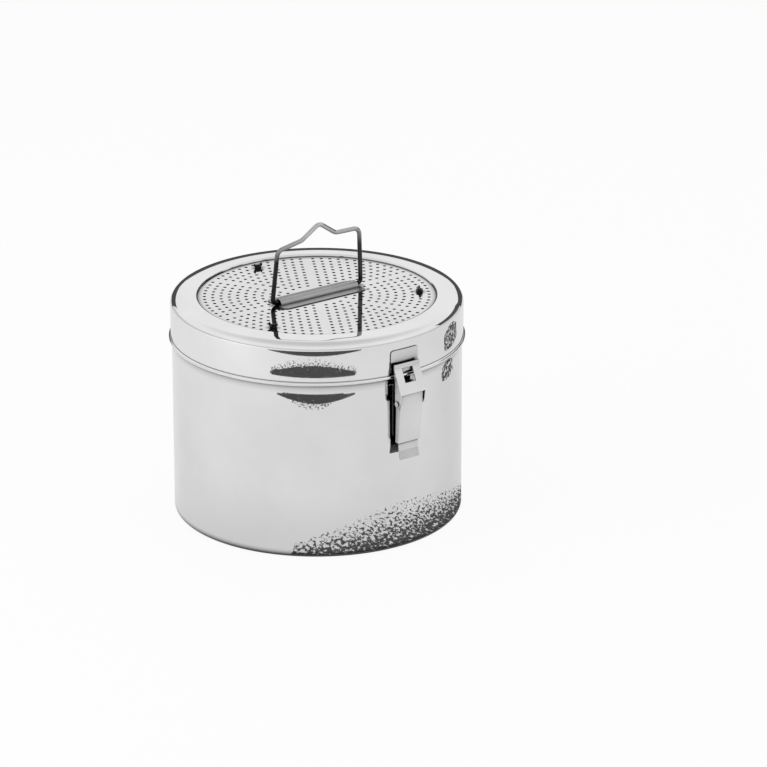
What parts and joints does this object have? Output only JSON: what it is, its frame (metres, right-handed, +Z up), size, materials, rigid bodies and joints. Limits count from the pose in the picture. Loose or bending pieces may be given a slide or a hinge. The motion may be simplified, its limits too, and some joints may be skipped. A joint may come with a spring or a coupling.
{
  "type": "sterilization container",
  "caption": "Round drum with an overlapping lid, perforated disc with a filter beneath, folding wire handle, toggle latches and inner dividing walls.",
  "frame": {"origin": "bottom centre of the drum, where its foot ring stands", "axes": "+Z up along the drum's axis, -Y towards the front latch, +X along the handle's hinge line"},
  "size_m": [0.3474, 0.3784, 0.3519],
  "materials": {
    "sheet_steel": "polished",
    "panel_steel": "polished",
    "dull_steel": "polished",
    "latch_steel": "polished",
    "seal_rubber": "matt",
    "filter_fabric": "woven"
  },
  "bodies": {
    "drum": {"drum_body": "sheet_steel", "long_divider": "sheet_steel", "short_divider": "sheet_steel", "divider_guides": "sheet_steel", "front_latch_base": "latch_steel", "back_latch_base": "latch_steel", "front_lever_pin": "latch_steel", "back_lever_pin": "latch_steel"},
    "lid": {"lid_shell": "sheet_steel", "lid_gasket": "seal_rubber", "vent_panel": "panel_steel", "filter_cloth": "filter_fabric", "filter_retainer": "sheet_steel", "filter_studs": "dull_steel", "filter_nuts": "dull_steel", "handle_bracket": "sheet_steel", "front_keeper": "latch_steel", "back_keeper": "latch_steel"},
    "handle": {"handle_bail": "dull_steel"},
    "front_lever": {"front_lever": "latch_steel"},
    "front_link": {"front_loop_pin": "latch_steel"},
    "front_loop": {"front_loop": "latch_steel"},
    "back_lever": {"back_lever": "latch_steel"},
    "back_link": {"back_loop_pin": "latch_steel"},
    "back_loop": {"back_loop": "latch_steel"}
  },
  "joints": [
    {"name": "lid_lift", "type": "slide", "parent": "drum", "child": "lid", "axis": [0, 0, 1], "range_m": [0, 0.25]},
    {"name": "handle_fold", "type": "hinge", "parent": "lid", "child": "handle", "pos_m": [0, 0, 0.26415], "axis": [1, 0, 0], "range_deg": [-93, 86]},
    {"name": "front_lever_turn", "type": "hinge", "parent": "drum", "child": "front_lever", "pos_m": [0, -0.181, 0.195], "axis": [-1, 0, 0], "range_deg": [0, 100]},
    {"name": "front_link_turn", "type": "hinge", "parent": "front_lever", "child": "front_link", "pos_m": [0, -0.182, 0.185], "axis": [-1, 0, 0], "range_deg": [-100, 0]},
    {"name": "front_loop_turn", "type": "hinge", "parent": "front_link", "child": "front_loop", "pos_m": [0, -0.182, 0.185], "axis": [1, 0, 0], "range_deg": [-3.3, 30]},
    {"name": "back_lever_turn", "type": "hinge", "parent": "drum", "child": "back_lever", "pos_m": [0, 0.181, 0.195], "axis": [1, 0, 0], "range_deg": [0, 100]},
    {"name": "back_link_turn", "type": "hinge", "parent": "back_lever", "child": "back_link", "pos_m": [0, 0.182, 0.185], "axis": [1, 0, 0], "range_deg": [-100, 0]},
    {"name": "back_loop_turn", "type": "hinge", "parent": "back_link", "child": "back_loop", "pos_m": [0, 0.182, 0.185], "axis": [-1, 0, 0], "range_deg": [-3.3, 30]}
  ],
  "couplings": [
    {"joint": "front_link_turn", "follows": "front_lever_turn", "ratio": -1},
    {"joint": "back_link_turn", "follows": "back_lever_turn", "ratio": -1}
  ]
}
